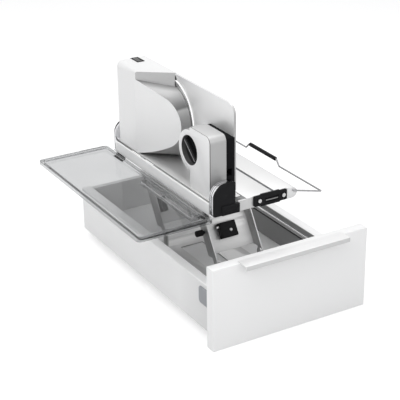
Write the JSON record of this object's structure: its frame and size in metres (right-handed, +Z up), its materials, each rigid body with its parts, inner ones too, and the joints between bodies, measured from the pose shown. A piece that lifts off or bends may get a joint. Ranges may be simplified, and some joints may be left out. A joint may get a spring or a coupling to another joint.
{
  "type": "drawer food slicer",
  "caption": "Electric food slicer raised on swing arms out of a kitchen drawer, with folding blade unit, thickness knob, slice tray and bail handle.",
  "frame": {"origin": "centre of the four screw holes in the undersides of the two cabinet rails", "axes": "+X to the right seen from the drawer front, +Y into the cabinet, +Z up"},
  "size_m": [0.3883, 0.516, 0.3639],
  "materials": {
    "lacquered_front": "satin white lacquer",
    "grip_aluminium": "satin",
    "side_paint": "satin pale grey",
    "board": "pale grey decor board",
    "rail_steel": "zinc plated",
    "gallery_chrome": "polished",
    "dark_plastic": "fine grained black",
    "grey_plastic": "fine grained grey",
    "white_plastic": "white",
    "swing_sheet": "plain sheet",
    "satin_aluminium": "bead blasted",
    "housing_metallic": "metallic silver",
    "blade_steel": "polished",
    "motor_metal": "plain",
    "gear_plastic": "natural",
    "smoked_clear": "smoked clear plastic",
    "rubber": "plain"
  },
  "bodies": {
    "cabinet": {"left_cabinet_rail": "rail_steel", "right_cabinet_rail": "rail_steel"},
    "middle_rails": {"left_middle_rail": "rail_steel", "right_middle_rail": "rail_steel"},
    "drawer": {"drawer_runners": "rail_steel", "left_side_profile": "side_paint", "right_side_profile": "side_paint", "drawer_floor": "board", "drawer_back": "board", "drawer_front": "lacquered_front", "grip_profile": "grip_aluminium", "front_fixing_blocks": "grey_plastic", "side_cover_caps": "grey_plastic", "gallery_rails": "gallery_chrome", "insert_strips": "grey_plastic", "floor_frame": "swing_sheet", "lower_swing_pins": "rail_steel"},
    "front_swing": {"front_swing_frame": "swing_sheet", "latch_housing": "dark_plastic", "swing_buffer": "rubber"},
    "latch_key": {"latch_button": "white_plastic"},
    "latch_tongue": {"latch_bolt": "rail_steel"},
    "rear_swing": {"rear_swing_frame": "swing_sheet", "rear_swing_block": "dark_plastic"},
    "base": {"base_frame": "satin_aluminium", "upper_swing_pins": "rail_steel", "deck_plate": "satin_aluminium", "deck_nose_profile": "satin_aluminium", "deck_guide": "grey_plastic", "nose_end_caps": "white_plastic", "near_end_cap": "dark_plastic", "end_cap_screws": "rail_steel", "near_hinge_cheek": "dark_plastic", "far_hinge_cheek": "dark_plastic", "near_cheek_trim": "gallery_chrome", "far_cheek_trim": "gallery_chrome", "fold_pins": "rail_steel", "tray_hooks": "dark_plastic", "mains_gland": "dark_plastic"},
    "release": {"release_button": "dark_plastic"},
    "bail": {"bail_wire": "gallery_chrome", "bail_grip": "dark_plastic"},
    "unit": {"foot_plate": "satin_aluminium", "motor_housing": "housing_metallic", "spindle_bracket": "satin_aluminium", "blade_spindle": "rail_steel", "motor_mount": "satin_aluminium", "motor": "motor_metal", "switch_frame": "dark_plastic", "thickness_block": "housing_metallic", "guide_rods": "rail_steel"},
    "rocker": {"switch_rocker": "dark_plastic"},
    "knob": {"thickness_knob": "dark_plastic"},
    "stop": {"stop_plate": "satin_aluminium", "stop_carrier": "dark_plastic"},
    "cutter": {"blade": "blade_steel", "blade_screws": "rail_steel", "drive_gear": "gear_plastic"},
    "pinion": {"motor_pinion": "rail_steel"},
    "tray": {"slice_tray": "smoked_clear"}
  },
  "joints": [
    {"name": "drawer_slide", "type": "slide", "parent": "cabinet", "child": "drawer", "axis": [0, -1, 0], "range_m": [0, 0.45]},
    {"name": "middle_rail_slide", "type": "slide", "parent": "cabinet", "child": "middle_rails", "axis": [0, -1, 0], "range_m": [0, 0.225]},
    {"name": "front_swing_pivot", "type": "hinge", "parent": "drawer", "child": "front_swing", "pos_m": [0, -0.09, 0.0475], "axis": [-1, 0, 0], "range_deg": [0, 56]},
    {"name": "latch_key_slide", "type": "slide", "parent": "front_swing", "child": "latch_key", "axis": [0, 0.848, -0.5299], "range_m": [0, 0.0025], "stiffness_N_per_m": 300, "springref_m": -0.0015},
    {"name": "latch_tongue_slide", "type": "slide", "parent": "front_swing", "child": "latch_tongue", "axis": [1, 0, 0], "range_m": [0, 0.0025]},
    {"name": "rear_swing_pivot", "type": "hinge", "parent": "drawer", "child": "rear_swing", "pos_m": [0, 0.06, 0.0475], "axis": [-1, 0, 0], "range_deg": [0, 56]},
    {"name": "base_pivot", "type": "hinge", "parent": "front_swing", "child": "base", "pos_m": [0, -0.01131, 0.17344], "axis": [-1, 0, 0], "range_deg": [-56, 0]},
    {"name": "release_slide", "type": "slide", "parent": "base", "child": "release", "axis": [0, 1, 0], "range_m": [0, 0.003], "stiffness_N_per_m": 300, "springref_m": -0.0015},
    {"name": "bail_pivot", "type": "hinge", "parent": "base", "child": "bail", "pos_m": [0.0435, -0.009, 0.19653], "axis": [0, -1, 0], "range_deg": [0, 85]},
    {"name": "fold_pivot", "type": "hinge", "parent": "base", "child": "unit", "pos_m": [-0.07, -0.008, 0.22803], "axis": [0, 1, 0], "range_deg": [0, 90]},
    {"name": "switch_pivot", "type": "hinge", "parent": "unit", "child": "rocker", "pos_m": [-0.0655, 0.1365, 0.34564], "axis": [1, 0, 0], "range_deg": [-7, 7]},
    {"name": "knob_turn", "type": "hinge", "parent": "unit", "child": "knob", "pos_m": [-0.088, -0.096, 0.26604], "axis": [1, 0, 0], "range_deg": [0, 270]},
    {"name": "stop_slide", "type": "slide", "parent": "unit", "child": "stop", "axis": [-1, 0, 0], "range_m": [0, 0.014]},
    {"name": "blade_spin", "type": "hinge", "parent": "unit", "child": "cutter", "pos_m": [-0.053, 0.052, 0.26554], "axis": [1, 0, 0], "continuous": true},
    {"name": "pinion_spin", "type": "hinge", "parent": "unit", "child": "pinion", "pos_m": [-0.058, 0.11425, 0.26554], "axis": [1, 0, 0], "continuous": true},
    {"name": "tray_slide", "type": "slide", "parent": "drawer", "child": "tray", "axis": [-1, 0, 0], "range_m": [0, 0.15]}
  ],
  "couplings": [
    {"joint": "middle_rail_slide", "follows": "drawer_slide", "ratio": 0.5},
    {"joint": "rear_swing_pivot", "follows": "front_swing_pivot", "ratio": 1},
    {"joint": "base_pivot", "follows": "front_swing_pivot", "ratio": -1},
    {"joint": "latch_tongue_slide", "follows": "latch_key_slide", "ratio": 1},
    {"joint": "knob_turn", "follows": "stop_slide", "rad_per_m": 336.6},
    {"joint": "pinion_spin", "follows": "blade_spin", "ratio": -4.1667}
  ]
}
